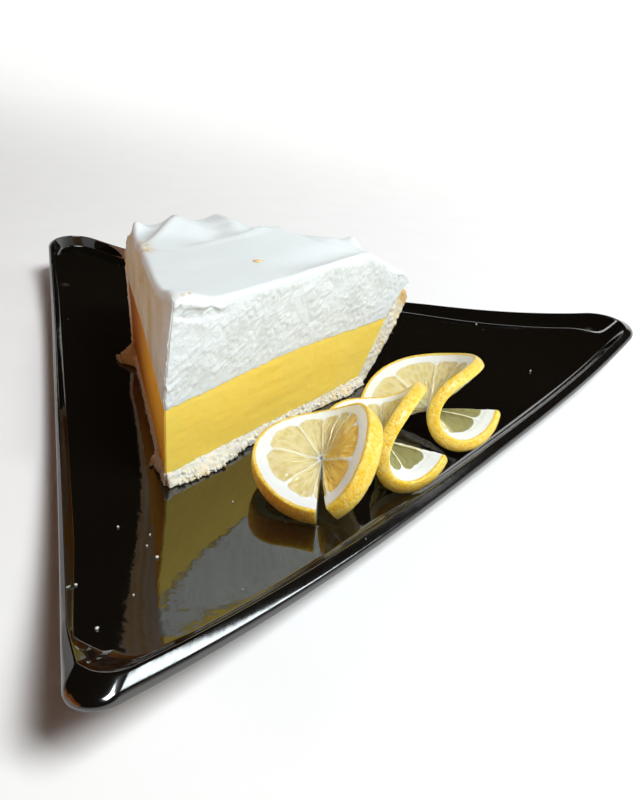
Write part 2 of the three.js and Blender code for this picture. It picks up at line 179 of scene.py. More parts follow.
# ---------------------------------------------------------------------------- plate
# Slip-cast stoneware dipped in a black gloss glaze: a triangle whose flat floor climbs
# slowly and then quickly to a thin rounded lip, with three corners bent up. It stands on a
# narrow foot ring, wiped free of glaze.

PLATE_CENTRE = np.array([0.3656, 41.4815])  # where the triangle's centre lies
PLATE_SIDE = 308.5
PLATE_CORNERS = [(30, 16.0), (150, 15.0), (270, 6.0)]  # direction in degrees, corner radius
PLATE_REACH = PLATE_SIDE / math.sqrt(3)
HALF_DEPTH = PLATE_REACH / 2
FLOOR = 6.0
FLOOR_THICKNESS = 4.4
LIP_INSET = 1.2
DISH = (36.0, 1.3)  # width and rise of the floor's slow climb
SIDE_RISE = 4.3
CORNER_RISE = 14.1
WALL_THICKNESS = 3.4
WALL_ZONE = 12.5  # rings nearer to the edge than this follow the lip
FOOT_INSET = 31.0
FOOT_WIDTH = 5.0


def plate_outline(corner_steps, side_steps):
    """The outline seen from above, as points about the centre of the triangle."""
    arcs = []
    for direction, radius in PLATE_CORNERS:
        middle = (PLATE_REACH - 2 * radius) * np.array([math.cos(math.radians(direction)),
                                                        math.sin(math.radians(direction))])
        turn = np.radians(np.linspace(direction - 60, direction + 60, corner_steps + 1))
        arcs.append(middle + radius * np.stack([np.cos(turn), np.sin(turn)], -1))
    outline = []
    for i, arc in enumerate(arcs):
        following = arcs[(i + 1) % 3][0]
        share = np.linspace(0, 1, side_steps + 1)[1:-1, None]
        outline += [arc, arc[-1] + share * (following - arc[-1])]
    return np.concatenate(outline)


def mix(a, b, t):
    return a + (b - a) * t


def rightness(points):
    """0 along the plate's left side, where the lip is narrow, to 1 along the other two."""
    return np.clip((points[:, 0] + 12) / 9, 0, 1)


def plate_top(points, inset):
    """Height of the upper face without the quick climb inside the lip."""
    corners = np.radians([direction for direction, _ in PLATE_CORNERS])
    outward = np.stack([np.cos(corners), np.sin(corners)])
    towards = points @ outward
    reach = towards.max(1) / (1 - LIP_INSET / HALF_DEPTH)
    corner = np.maximum(0, (reach / PLATE_REACH - 0.25) / 0.75)
    inner = np.maximum(0, (corner - 0.3) / 0.7) ** 2.3
    # the corners' bend starts early along the lip and later across the floor
    near_edge = np.maximum(0, 1 - inset / 14) ** 2 * rightness(points)
    near_edge = np.where(inset < 0, 1, near_edge)
    bend = CORNER_RISE * (inner + (corner ** 3 - inner) * near_edge)
    from_right = HALF_DEPTH + towards[:, 1]
    from_back = HALF_DEPTH + towards[:, 2]
    width, rise = DISH
    dish = rise * (np.maximum(0, width - from_right) / (width - LIP_INSET)) ** 3
    back_dish = rise * (np.maximum(0, width - from_back) / (width - LIP_INSET)) ** 3
    dish = dish + back_dish * np.clip(points[:, 0] / 50, 0, 1)
    # the near corner is cupped a little more on its right
    cup = 0.8 * (np.maximum(0, 40 - from_right) / 40) ** 2 * np.clip((-95 - points[:, 1]) / 45, 0, 1) ** 1.5
    return FLOOR + bend + dish + cup * (1 - near_edge)


outline = plate_outline(28, 96)
under = FLOOR - FLOOR_THICKNESS
rings = []  # points of each ring, from the floor out, round the lip and back underneath


def add_ring(inset, height):
    """height(points) gives the height at the ring's points, or is one number for them all."""
    points = outline * (1 - inset / HALF_DEPTH)
    level = height(points) if callable(height) else np.full(len(points), height)
    rings.append(np.column_stack([points + PLATE_CENTRE, level]))


# The rounded lip's section, from its inner edge up, out and under: lengths in millimetres
# along it and the slope in degrees that each one reaches. Its shoulder is nearly straight.
LIP_SECTION = [(0.8, 24), (1.9, 31), (1.9, 90), (1.5, 180)]
slopes, arcs = [-60.0], [0.0]
for length, slope in LIP_SECTION:
    arcs.append(arcs[-1] + length)
    slopes.append(slope)
along = np.linspace(0, arcs[-1], 45)
slope = np.radians(np.interp(along, arcs, slopes))
lip_out = np.concatenate([[0], np.cumsum(np.cos((slope[1:] + slope[:-1]) / 2) * np.diff(along))])
lip_drop = np.concatenate([[0], np.cumsum(np.sin((slope[1:] + slope[:-1]) / 2) * np.diff(along))])
lip_size = 0.42 + 0.58 * rightness(outline)
crest_rise = SIDE_RISE - DISH[1] * rightness(outline) + lip_drop.min() * lip_size
crest = 0.1 + lip_out.max() * lip_size  # inset where the lip starts
# the lip's own height is that of the bend at its full strength, which a negative inset gives
lip_level = plate_top(outline * (1 - LIP_INSET / HALF_DEPTH), -1 + 0 * lip_size) + crest_rise
# the quick climb to the lip is steep on the left and at the corners, and gentler elsewhere
at_corner = np.clip((np.hypot(*outline.T) / PLATE_REACH - 0.72) / 0.14, 0, 1)
climb_foot = crest + mix(1.8 - 1.1 * at_corner, 5.4, rightness(outline))


def upper_face(inset):
    """Points and heights of the upper face, at an inset that differs from point to point."""
    points = outline * (1 - inset / HALF_DEPTH)[:, None]
    share = np.clip((climb_foot - inset) / (climb_foot - crest), 0, 1)
    climbed = share ** (1.15 + 0.85 * rightness(outline))
    return points, mix(plate_top(points, inset), lip_level, climbed)


def add_uneven_ring(points, level):
    rings.append(np.column_stack([points + PLATE_CENTRE, level]))


for inset in np.concatenate([[62, 54], np.linspace(48, WALL_ZONE, 24)]):
    add_ring(inset, lambda points: plate_top(points, inset))
for share in np.linspace(0, 1, 16)[1:] ** 0.35:
    add_uneven_ring(*upper_face(mix(WALL_ZONE, climb_foot, share)))
for share in np.linspace(0, 1, 25)[1:]:
    add_uneven_ring(*upper_face(mix(climb_foot, crest, share)))
for out, drop in zip(lip_out[1:], lip_drop[1:]):
    points = outline * (1 - (crest - out * lip_size) / HALF_DEPTH)[:, None]
    add_uneven_ring(points, lip_level - drop * lip_size)
# underneath, the wall and then the floor keep their thickness
lip_end = crest - lip_out[-1] * lip_size
for share in np.linspace(0, 1, 17)[1:]:
    inset = mix(lip_end, climb_foot + 2.5, share)
    points = outline * (1 - inset / HALF_DEPTH)[:, None]
    further_in = upper_face(inset + crest - lip_end)[1]
    thick = mix(lip_drop[-1] * lip_size, WALL_THICKNESS, share ** 2 * (3 - 2 * share))
    add_uneven_ring(points, further_in - thick)
for inset in np.linspace(13, FOOT_INSET, 10):
    thick = mix(WALL_THICKNESS, FLOOR_THICKNESS, min(1.0, (inset - 11) / 8))
    add_ring(inset, lambda points: plate_top(points, inset) - thick)
add_ring(FOOT_INSET + 0.6, 0.35)
add_ring(FOOT_INSET + 1.2, 0.0)
add_ring(FOOT_INSET + FOOT_WIDTH - 0.2, 0.0)
add_ring(FOOT_INSET + FOOT_WIDTH + 0.4, 0.35)
add_ring(FOOT_INSET + FOOT_WIDTH + 1, under - 0.4)
count = len(outline)
plate_points = np.concatenate(rings)
plate_faces = ring_faces(len(rings), count).tolist()
plate_faces.append(list(range(count)))
plate_faces.append(list(range(len(plate_points) - count, len(plate_points)))[::-1])

# A dense glaze that mirrors like dark glass; it pools unevenly, so the gloss varies in
# patches, and dried drops, wiping marks and dust dull it here and there.
glaze, tree, place = start_material("black_gloss_glaze_on_stoneware")
pool = add(tree, "TexNoise", {"Vector": place, "Scale": 1000 / 45, "Detail": 2.0})
dust_cells = add(tree, "TexVoronoi", {"Vector": place, "Scale": 1000 / 7, "Randomness": 1.0})
dust = add(tree, "MapRange", {"Value": dust_cells, "From Min": 0.015, "From Max": 0.045,
                              "To Min": 1.0, "To Max": 0.0})
some = add(tree, "TexNoise", {"Vector": place, "Scale": 1000 / 25, "Detail": 1.0})
where = add(tree, "MapRange", {"Value": some, "From Min": 0.46, "From Max": 0.56})
specks = add(tree, "Math", {0: dust, 1: where}, operation="MULTIPLY")
on_rim = add(tree, "Attribute", attribute_name="rim")
rim_dust = add(tree, "TexNoise", {"Vector": place, "Scale": 1000 / 3, "Detail": 4.0, "Roughness": 0.7})
rim_dust = add(tree, "MapRange", {"Value": rim_dust, "From Min": 0.2, "From Max": 0.8,
                                  "To Min": 0.4})
rim_dust = add(tree, "Math", {0: rim_dust, 1: on_rim.outputs["Fac"]}, operation="MULTIPLY")
drop_cells = add(tree, "TexVoronoi", {"Vector": place, "Scale": 1000 / 38, "Randomness": 1.0})
drops = add(tree, "MapRange", {"Value": drop_cells, "From Min": 0.03, "From Max": 0.07,
                               "To Min": 0.22, "To Max": 0.0})
streak_place = add(tree, "Mapping", {"Vector": place, "Scale": (1.0, 0.12, 1.0), "Rotation": (0, 0, 0.5)})
streaks = add(tree, "TexNoise", {"Vector": streak_place, "Scale": 1000 / 1.5, "Detail": 2.0})
wear = add(tree, "MapRange", {"Value": streaks, "From Min": 0.64, "From Max": 0.75,
                              "To Min": 0.0, "To Max": 0.06})
tint = add(tree, "MixRGB", {"Fac": pool, "Color1": "#080705", "Color2": "#0e0b08"})
gloss = add(tree, "MapRange", {"Value": pool, "To Min": 0.03, "To Max": 0.06})
rough = add(tree, "Math", {0: gloss, 1: wear}, operation="ADD")
rough = add(tree, "Math", {0: rough, 1: drops}, operation="ADD")
rough = add(tree, "Math", {0: rough, 1: specks}, operation="MAXIMUM")
rim_rough = add(tree, "MapRange", {"Value": rim_dust, "To Min": 0.0, "To Max": 0.10})
rough = add(tree, "Math", {0: rough, 1: rim_rough}, operation="ADD")
# the foot ring was wiped before firing and shows the bare brown clay
height = add(tree, "SeparateXYZ", {0: place})
bare = add(tree, "MapRange", {"Value": height.outputs["Z"], "From Min": 0.0003, "From Max": 0.0004,
                              "To Min": 1.0, "To Max": 0.0})
for share, colour in ((drops, "#6a6050"), (specks, "#a59a8a"), (bare, "#8a7763")):
    tint = add(tree, "MixRGB", {"Fac": share, "Color1": tint, "Color2": colour})
rough = add(tree, "Math", {0: rough, 1: bare}, operation="MAXIMUM")
ripple = add(tree, "TexNoise", {"Vector": place, "Scale": 1000 / 5, "Detail": 2.0})
relief = add(tree, "Bump", {"Height": ripple, "Strength": 0.09, "Distance": 0.0004})
surface = add(tree, "BsdfPrincipled", {"Base Color": tint, "Roughness": rough,
                                       "IOR": 2.0, "Normal": relief})
add(tree, "OutputMaterial", {"Surface": surface})


def store(piece, name, values):
    """Keeps one number or one vector for each vertex, for the material to read."""
    values = np.asarray(values, dtype=np.float32)
    if values.ndim == 1:
        piece.data.attributes.new(name, "FLOAT", "POINT").data.foreach_set("value", values)
    else:
        piece.data.attributes.new(name, "FLOAT_VECTOR", "POINT").data.foreach_set("vector", values.ravel())


plate = mesh_piece("plate_glazed", plate_points, plate_faces, glaze)
# dust gathers along the front right rim, where the cloth does not reach
from_centre = plate_points[:, :2] - PLATE_CENTRE
inset = HALF_DEPTH - from_centre @ np.array([math.cos(math.pi / 6), -math.sin(math.pi / 6)])
store(plate, "rim", np.clip((9 - inset) / 4, 0, 1))
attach(plate, "root")
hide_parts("plate")


# ---------------------------------------------------------------------------- crust
# Shortcrust pastry, rolled and baked blind in a sloping tin: a base and a leaning wall in
# one sheet. The knife leaves crumbling edges, so its foot stands out of the cut faces.

TIP = np.array([-17.5, -91.3])
SLICE_TURN = math.radians(0.7)
SLICE_FOOT = FLOOR + 0.3
HALF_ANGLE = 28.4
TIP_RADIUS = 0.5
CRUST_BASE = 4.1
CRUST_FOOT_RADIUS = 97.4
WALL_FOOT_RADIUS = 94.0
FILLING_RADIUS = 108.2
FILLING_TOP = 25.2
FILLING_CROWN = 1.9
RIM_INNER = (115.2, 32.0)
RIM_TOP = (118.6, 33.7)
RIM_OUTER = (122.2, 29.6)
BASE_SHARE = 0.7  # of the crust's steps, the rest climb the wall
FLAKE_RADIUS = 87.0  # where a flake stands out of the left cut face


def slice_point(r, angle, z):
    """Radius from the tip, degrees to the left of the axis and height, as slice axes."""
    turn = np.radians(angle)
    return np.stack([-r * np.sin(turn), r * np.cos(turn), z + 0 * r], -1)


def to_row(points):
    """From the slice's own axes to the row frame."""
    c, s = math.cos(SLICE_TURN), math.sin(SLICE_TURN)
    x, y, z = points[..., 0], points[..., 1], points[..., 2]
    return np.stack([c * x - s * y + TIP[0] + PLATE_CENTRE[0],
                     s * x + c * y + TIP[1] + PLATE_CENTRE[1], z + SLICE_FOOT], -1)


def face_normal(side):
    """The outward direction of a cut face: side is 1 for the right face, -1 for the left."""
    turn = math.radians(HALF_ANGLE)
    return np.array([side * math.cos(turn), -math.sin(turn), 0.0])


def smooth(x, low, high):
    t = np.clip((x - low) / (high - low), 0, 1)
    return t * t * (3 - 2 * t)


def lumps(points, size, octaves=2, seed=0):
    """Smooth random relief, about -1 to 1, with lumps `size` millimetres across."""
    total = np.zeros(points.shape[:-1])
    for octave in range(octaves):
        q = points / size * 2.1 ** octave + 19.7 * (seed + octave)
        cell = np.floor(q).astype(np.int64)
        f = q - cell
        f = f * f * (3 - 2 * f)
        value = np.zeros(points.shape[:-1])
        for dx in (0, 1):
            for dy in (0, 1):
                for dz in (0, 1):
                    n = (cell[..., 0] + dx) * 374761393 + (cell[..., 1] + dy) * 668265263
                    n = (n + (cell[..., 2] + dz) * 2147483647 + 1274126177 * (seed + 1)) & 0x7fffffff
                    n = ((n ^ (n >> 13)) * 1274126177) & 0x7fffffff
                    n = ((n ^ (n >> 16)) & 0xffff) / 32767.5 - 1
                    weight = np.where(dx, f[..., 0], 1 - f[..., 0])
                    weight = weight * np.where(dy, f[..., 1], 1 - f[..., 1])
                    weight = weight * np.where(dz, f[..., 2], 1 - f[..., 2])
                    value += n * weight
        total += value / 1.9 ** octave
    return total


def block(nu, nv, nw, place, plain_floor=False, plain_roof=False):
    """The skin of a block of cells, with its points, faces and each point's u, v and w.

    place(u, v, w) gives the points for arrays of shares from 0 to 1: outwards, from the right
    side to the left, and upwards. A plain floor or roof, which is hidden, has one face from
    side to side for each step.
    """
    skin = np.zeros((nu + 1, nv + 1, nw + 1), dtype=bool)
    for axis in range(3):
        skin.swapaxes(0, axis)[[0, -1]] = True
    if plain_floor:
        skin[1:-1, 1:-1, 0] = False
    if plain_roof:
        skin[1:-1, 1:-1, -1] = False
    number = -np.ones(skin.shape, dtype=np.int64)
    number[skin] = np.arange(skin.sum())
    u, v, w = (part.astype(float) for part in np.nonzero(skin))
    faces = []

    def patch(corner, flip):
        a, b, c, d = corner[:-1, :-1], corner[1:, :-1], corner[1:, 1:], corner[:-1, 1:]
        quads = np.stack([a, b, c, d], -1).reshape(-1, 4)
        faces.extend((quads[:, ::-1] if flip else quads).tolist())

    def plain(corner, flip):
        strips = [list(corner[0]) + [corner[1][-1], corner[1][0]]]
        for i in range(1, nu - 1):
            strips.append([corner[i][0], corner[i][-1], corner[i + 1][-1], corner[i + 1][0]])
        strips.append([corner[-2][0], corner[-2][-1]] + list(corner[-1][::-1]))
        faces.extend([int(k) for k in (strip if flip else strip[::-1])] for strip in strips)

    (plain if plain_roof else patch)(number[:, :, -1], False)
    (plain if plain_floor else patch)(number[:, :, 0], True)
    patch(number[:, 0, :], False)
    patch(number[:, -1, :], True)
    patch(number[0, :, :], True)
    patch(number[-1, :, :], False)
    u, v, w = u / nu, v / nv, w / nw
    return place(u, v, w), faces, u, v, w


def filling_top(r):
    return FILLING_TOP + FILLING_CROWN * np.sin(np.pi * np.minimum(1, r / FILLING_RADIUS)) ** 2


def ledge(r, v):
    """How far the crumbling foot of the crust stands out of a cut face."""
    right = 1.3 + 3.1 * np.exp(-((r - 16) / 13) ** 2) + 1.6 * np.exp(-((r - 84) / 6) ** 2)
    flake = 6.5 * np.exp(-((r - FLAKE_RADIUS) / 6.5) ** 4)
    chip = 2.6 * np.exp(-((r - 12) / 4) ** 2)
    return np.where(v < 0.5, right, 0.6 + flake + chip)


def crowd_edges(v):
    """Spreads even steps so that they crowd towards both cut faces."""
    return v - 0.85 * np.sin(2 * np.pi * v) / (2 * np.pi)


def crust_place(u, v, w):
    on_base = u <= BASE_SHARE
    t = np.where(on_base, u / BASE_SHARE, (u - BASE_SHARE) / (1 - BASE_SHARE))
    belly = np.where(on_base, 0, 1.8 * np.sin(np.pi * np.clip(t, 0, 1)) ** 1.2)
    outer_r = np.where(on_base, mix(TIP_RADIUS, CRUST_FOOT_RADIUS, t),
                       mix(CRUST_FOOT_RADIUS, RIM_OUTER[0], t) + belly * 0.6)
    outer_z = np.where(on_base, 0, mix(0, RIM_OUTER[1], t) - belly * 0.4)
    inner_r = np.where(on_base, mix(TIP_RADIUS, WALL_FOOT_RADIUS, t), mix(WALL_FOOT_RADIUS, RIM_INNER[0], t))
    inner_z = np.where(on_base, CRUST_BASE, mix(CRUST_BASE, RIM_INNER[1], t))
    r = mix(outer_r, inner_r, w)
    z = mix(outer_z, inner_z, w)
    rim = smooth(u, 0.96, 1) * np.sin(np.pi * w)
    r = r + rim * (RIM_TOP[0] - (RIM_INNER[0] + RIM_OUTER[0]) / 2)
    z = z + rim * (RIM_TOP[1] - (RIM_INNER[1] + RIM_OUTER[1]) / 2)
    points = slice_point(r, mix(-HALF_ANGLE, HALF_ANGLE, crowd_edges(v)), z)
    on_cut = (v == 0) | (v == 1)
    ragged = 1 + 0.30 * lumps(points, 2.6, 2, seed=3)
    fading = (1 - w) ** np.where(v < 0.5, 1.1, 0.6)
    reach = 0.8 * ledge(r, v) * fading * ragged * on_cut * np.where(on_base, 1, 0.15)
    normal = np.where(v[:, None] < 0.5, face_normal(1), face_normal(-1))
    return points + normal * np.maximum(0, reach)[:, None]


crust_points, crust_faces, u, v, w = block(300, 64, 14, crust_place)
on_cut = (v == 0) | (v == 1)
crumble = 0.55 * np.abs(lumps(crust_points, 2.4, 2, seed=1))
crumble = crumble + 0.2 * lumps(crust_points, 1.0, 1, seed=2) - 0.15
baked = 0.30 * lumps(crust_points, 5.0, 3, seed=4)
crumb_relief = np.where(on_cut, crumble, baked)

# Flour and butter: pale and matt where it is cut, golden where the oven reached it.
shortcrust, tree, place = start_material("baked_shortcrust_pastry")
blotch = add(tree, "TexNoise", {"Vector": place, "Scale": 1000 / 5, "Detail": 4.0, "Roughness": 0.6})
crumb = add(tree, "TexVoronoi", {"Vector": place, "Scale": 1000 / 0.9})
browned = add(tree, "Attribute", attribute_name="browned")
toast = add(tree, "Math", {0: blotch, 1: browned.outputs["Fac"]}, operation="ADD")
toast = add(tree, "MapRange", {"Value": toast, "From Min": 0.55, "From Max": 1.0})
tint = add(tree, "MixRGB", {"Fac": toast, "Color1": "#e8e5d6", "Color2": "#efd294"})
deep = add(tree, "MapRange", {"Value": toast, "From Min": 0.8, "From Max": 1.3, "To Max": 0.9})
tint = add(tree, "MixRGB", {"Fac": deep, "Color1": tint, "Color2": "#b8742a"})
shade = add(tree, "MapRange", {"Value": crumb, "From Max": 0.5, "To Min": 1.0, "To Max": 0.93})
tint = add(tree, "MixRGB", {"Fac": 1.0, "Color1": tint, "Color2": shade}, blend_type="MULTIPLY")
relief = add(tree, "Bump", {"Height": crumb, "Strength": 0.4, "Distance": -0.0003})
surface = add(tree, "BsdfPrincipled", {"Base Color": tint, "Roughness": 0.85,
                                       "Subsurface Weight": 0.45, "Subsurface Scale": 0.0015,
                                       "Subsurface Radius": (1.0, 0.8, 0.5), "Normal": relief})
add(tree, "OutputMaterial", {"Surface": surface})


def push_out(piece, heights):
    """Moves each vertex along its normal by a height in millimetres."""
    count = len(piece.data.vertices)
    place, normal = np.zeros(count * 3), np.zeros(count * 3)
    piece.data.vertices.foreach_get("co", place)
    piece.data.vertex_normals.foreach_get("vector", normal)
    place = place.reshape(-1, 3) + normal.reshape(-1, 3) * heights[:, None] / 1000
    piece.data.vertices.foreach_set("co", place.ravel())
    piece.data.update()


crust = mesh_piece("crust_baked", to_row(crust_points), crust_faces, shortcrust)
rim_glow = 0.35 * smooth(u, 0.955, 0.99)
from_tip = np.hypot(crust_points[:, 0], crust_points[:, 1])
on_flake = 0.8 * np.exp(-((from_tip - FLAKE_RADIUS) / 9) ** 2) * (v == 1)
browned_cut = 0.12 * (1 - w) + 0.1 * smooth(u, 0.2, 0.4) + on_flake
browned_skin = 0.42 * (w < 0.5)
store(crust, "browned", np.where(on_cut, browned_cut, browned_skin) + rim_glow)
push_out(crust, crumb_relief * np.where((w == 0) & (u < BASE_SHARE), 0.3, 1))
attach(crust, "root")
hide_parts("crust")


# --------------------------------------------------------------------- crust crumbs
# The crumbs that broke off along the foot of both cut faces when the knife went through,
# and a few that were carried further over the plate. They lie loose, of the same pastry.

# over the plate, in millimetres from its centre
STRAY_CRUMBS = [
    (-11.9, -117.4), (-7.8, -121.1), (-7.0, -136.1), (-8.8, -149.3), (-20.2, -136.7), (2.5, -92.2),
    (-13.0, -112.9), (-21.8, -112.3), (29.2, -116.8), (-48.5, -92.6), (73.3, 78.5), (95.0, 32.4),
]


def turn_matrix(vector):
    """The rotation about a vector by its length in radians."""
    angle = np.linalg.norm(vector)
    x, y, z = vector / angle
    cross = np.array([[0, -z, y], [z, 0, -x], [-y, x, 0]])
    return np.eye(3) + math.sin(angle) * cross + (1 - math.cos(angle)) * cross @ cross


def crumb_ball(rng, size):
    """A rough crumb about `size` millimetres in radius, as points and triangles."""
    ball = bmesh.new()
    bmesh.ops.create_icosphere(ball, subdivisions=2, radius=1.0)
    points = np.array([vertex.co[:] for vertex in ball.verts])
    faces = np.array([[vertex.index for vertex in face.verts] for face in ball.faces])
    ball.free()
    points = points * rng.uniform(0.7, 1.25, 3)
    turn = turn_matrix(rng.uniform(-3, 3, 3))
    points = points @ turn.T
    points = points * (1 + 0.34 * lumps(points + rng.uniform(0, 50, 3), 0.9, 2))[:, None]
    return points * size, faces


def join(balls):
    """The points and faces of several balls as those of one mesh."""
    first = np.cumsum([0] + [len(points) for points, _ in balls])
    faces = [part + start for (_, part), start in zip(balls, first)]
    return np.concatenate([points for points, _ in balls]), np.concatenate(faces)


rng = np.random.default_rng(41)
crumb_balls, crumb_tone = [], []
for side, crumbs in ((0, 300), (1, 120)):
    spread = np.linspace(1, 96, 400)
    weight = ledge(spread, np.full(400, side)) - 0.35
    chosen = rng.choice(spread, crumbs, p=weight / weight.sum())
    for r in chosen:
        reach = float(ledge(np.array([r]), side)[0])
        out = reach * rng.uniform(0, 1) ** 0.8
        size = rng.uniform(0.22, 0.75) ** 1.2 * 1.25 * (1.15 - 0.4 * out / reach)
        heap = max(0.0, CRUST_BASE - 1.2 - 1.0 * out) * rng.uniform(0, 1) ** 1.5
        ball, ball_faces = crumb_ball(rng, size)
        edge = slice_point(r, (-HALF_ANGLE, HALF_ANGLE)[side], 0.0)
        foot = edge + face_normal((1, -1)[side]) * (out - 0.25)
        foot[2] = heap - ball[:, 2].min() - 0.2
        crumb_balls.append((to_row(ball + foot), ball_faces))
        crumb_tone.append(np.full(len(ball), rng.uniform(-0.2, 0.28)))
for x, y in STRAY_CRUMBS:
    ball, ball_faces = crumb_ball(rng, rng.uniform(0.2, 0.42))
    ground = plate_top(np.array([[x, y]]), 20)[0]
    ball = ball + [x + PLATE_CENTRE[0], y + PLATE_CENTRE[1], ground - ball[:, 2].min() - 0.05]
    crumb_balls.append((ball, ball_faces))
    crumb_tone.append(np.full(len(ball), rng.uniform(-0.2, 0.1)))
crumbs = mesh_piece("crust_crumbs", *join(crumb_balls), shortcrust)
store(crumbs, "browned", np.concatenate(crumb_tone))
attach(crumbs, "root")


# -------------------------------------------------------------------------- filling
# Lemon curd set with cornflour, poured into the baked case and cut cold: a smooth, moist,
# slightly see-through gel with a few pinholes and the faint drag marks of the knife.

def filling_place(u, v, w):
    bottom = CRUST_BASE - 0.2
    r = mix(TIP_RADIUS, mix(WALL_FOOT_RADIUS, FILLING_RADIUS, w) + 0.1, u)
    return slice_point(r, mix(-HALF_ANGLE, HALF_ANGLE, v), mix(bottom, filling_top(r) + 0.1, w))


filling_points, filling_faces, u, v, w = block(200, 40, 44, filling_place, plain_floor=True, plain_roof=True)
filling_relief = 0.10 * lumps(filling_points, 9, 2, seed=5) + 0.05 * lumps(filling_points, 2.0, 2, seed=6)
filling_relief += 0.06 * lumps(filling_points * [1, 1, 6], 14, 2, seed=8)
hole = slice_point(19.0, HALF_ANGLE, 21.5)
in_hole = np.exp(-(np.linalg.norm(filling_points - hole, axis=1) / 1.2) ** 2)
filling_relief -= 1.8 * in_hole
# the curd's top edge is a shade behind the foam that hangs over it
filling_relief -= 0.12 * smooth(w, 0.9, 1)

# A moist gel: clear deep yellow with a soft sheen. The left cut face is duller and carries
# painted shade, amber at the thin tip and brown further back, and the pinhole is painted dark as shade.
curd, tree, place = start_material("set_lemon_curd")
cloud = add(tree, "TexNoise", {"Vector": place, "Scale": 1000 / 22, "Detail": 3.0})
fleck = add(tree, "TexNoise", {"Vector": place, "Scale": 1000 / 1.2, "Detail": 2.0})
knife = add(tree, "Attribute", attribute_name="knife")
drag = add(tree, "TexNoise", {"Vector": knife.outputs["Vector"], "Scale": 1.0, "Detail": 3.0,
                              "Roughness": 0.6})
hole_shade = add(tree, "Attribute", attribute_name="hole_shade")
left_face_shade = add(tree, "Attribute", attribute_name="left_face_shade")
tint = add(tree, "MixRGB", {"Fac": cloud, "Color1": "#ffd752", "Color2": "#ffe26e"})
pale = add(tree, "MapRange", {"Value": fleck, "From Min": 0.66, "From Max": 0.8, "To Max": 0.35})
smear = add(tree, "MapRange", {"Value": drag, "From Min": 0.6, "From Max": 0.8, "To Max": 0.4})
# painted shade over the left cut face: amber at the tip, deepening to brown further back; that side is also
# rougher
dull_shaded_left = add(tree, "MapRange", {"Value": left_face_shade.outputs["Fac"], "From Max": 0.5, "To Max": 0.9})
deep = add(tree, "MapRange", {"Value": left_face_shade.outputs["Fac"], "From Min": 0.5})
# the pinhole is darkened with painted shade
layers = ((pale, "#fdeeb4"), (smear, "#fde79c"), (dull_shaded_left, "#ffb31c"), (deep, "#a85a08"),
          (hole_shade.outputs["Fac"], "#8a4b0c"))
for share, colour in layers:
    tint = add(tree, "MixRGB", {"Fac": share, "Color1": tint, "Color2": colour})
gloss = add(tree, "MapRange", {"Value": drag, "To Min": 0.30, "To Max": 0.6})
gloss = add(tree, "Math", {0: gloss, 1: dull_shaded_left}, operation="MAXIMUM")
both = add(tree, "Math", {0: fleck, 1: drag}, operation="ADD")
relief = add(tree, "Bump", {"Height": both, "Strength": 0.14, "Distance": 0.0003})
surface = add(tree, "BsdfPrincipled", {"Base Color": tint, "Roughness": gloss,
                                       "IOR": 1.38, "Subsurface Weight": 0.3, "Subsurface Scale": 0.002,
                                       "Subsurface Radius": (1.0, 0.7, 0.2), "Normal": relief})
add(tree, "OutputMaterial", {"Surface": surface})
filling = mesh_piece("filling_set", to_row(filling_points), filling_faces, curd)
# painted shade inside the pinhole
store(filling, "hole_shade", in_hole)
# painted shade on the left cut face, growing towards the back
store(filling, "left_face_shade", (v == 1) * (0.5 + 0.5 * smooth(u, 0.15, 0.9)))
# the knife's marks are long across the slice and narrow in height
from_tip = np.hypot(*filling_points[:, :2].T)
store(filling, "knife", np.stack([from_tip / 7, filling_points[:, 2] / 0.9, v * 5], -1))
push_out(filling, filling_relief)
filling.data.set_sharp_from_angle(angle=math.radians(60))
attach(filling, "root")
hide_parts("filling")


# ------------------------------------------------------------------------- meringue
# Whisked egg white and sugar, spread and swept up with a spatula, hardly coloured by the
# oven. The top is smooth and satiny; the knife has opened the foam on both cut faces.

MERINGUE_TOP = 51.6
MERINGUE_EDGE = (117.2, 39.8)
BULGE = (121.2, 36.0)
SHOULDER = (86.0, 124.0)
TIP_LEAN = (3.4, 18.0)  # how far the foam leans over at the tip, and how soon that fades
# Each swirl is a crest from its tip inwards through stations of radius and angle:
# rise, nub, steep side, gentle side, depth of the groove beside it and its reach.
SWIRLS = [
    ([(90.7, 27.3), (80, 28.4), (70, 29)], 2.0, 1.4, 5.0, 9.4, 0.0, 8.0),
    ([(101.4, 19), (90, 18.6), (72, 22.3), (58, 27)], 3.4, 1.0, 4.3, 14.0, 4.0, 8.0),
    ([(107.6, 10.2), (97, 6), (88, 5), (78, 6)], 6.0, 0.9, 7.3, 14.4, 1.2, 8.0),
    ([(97.8, -3.9), (90, -2.6), (80, 0.9), (68, 7.5), (58, 15)], 1.6, 1.0, 3.6, 18.8, 3.6, 9.0),
    ([(106.3, -16), (92, -15)], 4.2, 0.0, 11.8, 11.6, 0.0, 8.0),
    ([(106.1, -19.2), (102, -24.5), (92, -27), (78, -27.4), (62, -27), (48, -28)],
     0.8, 3.0, 3.7, 5.0, 2.2, 7.0),
]


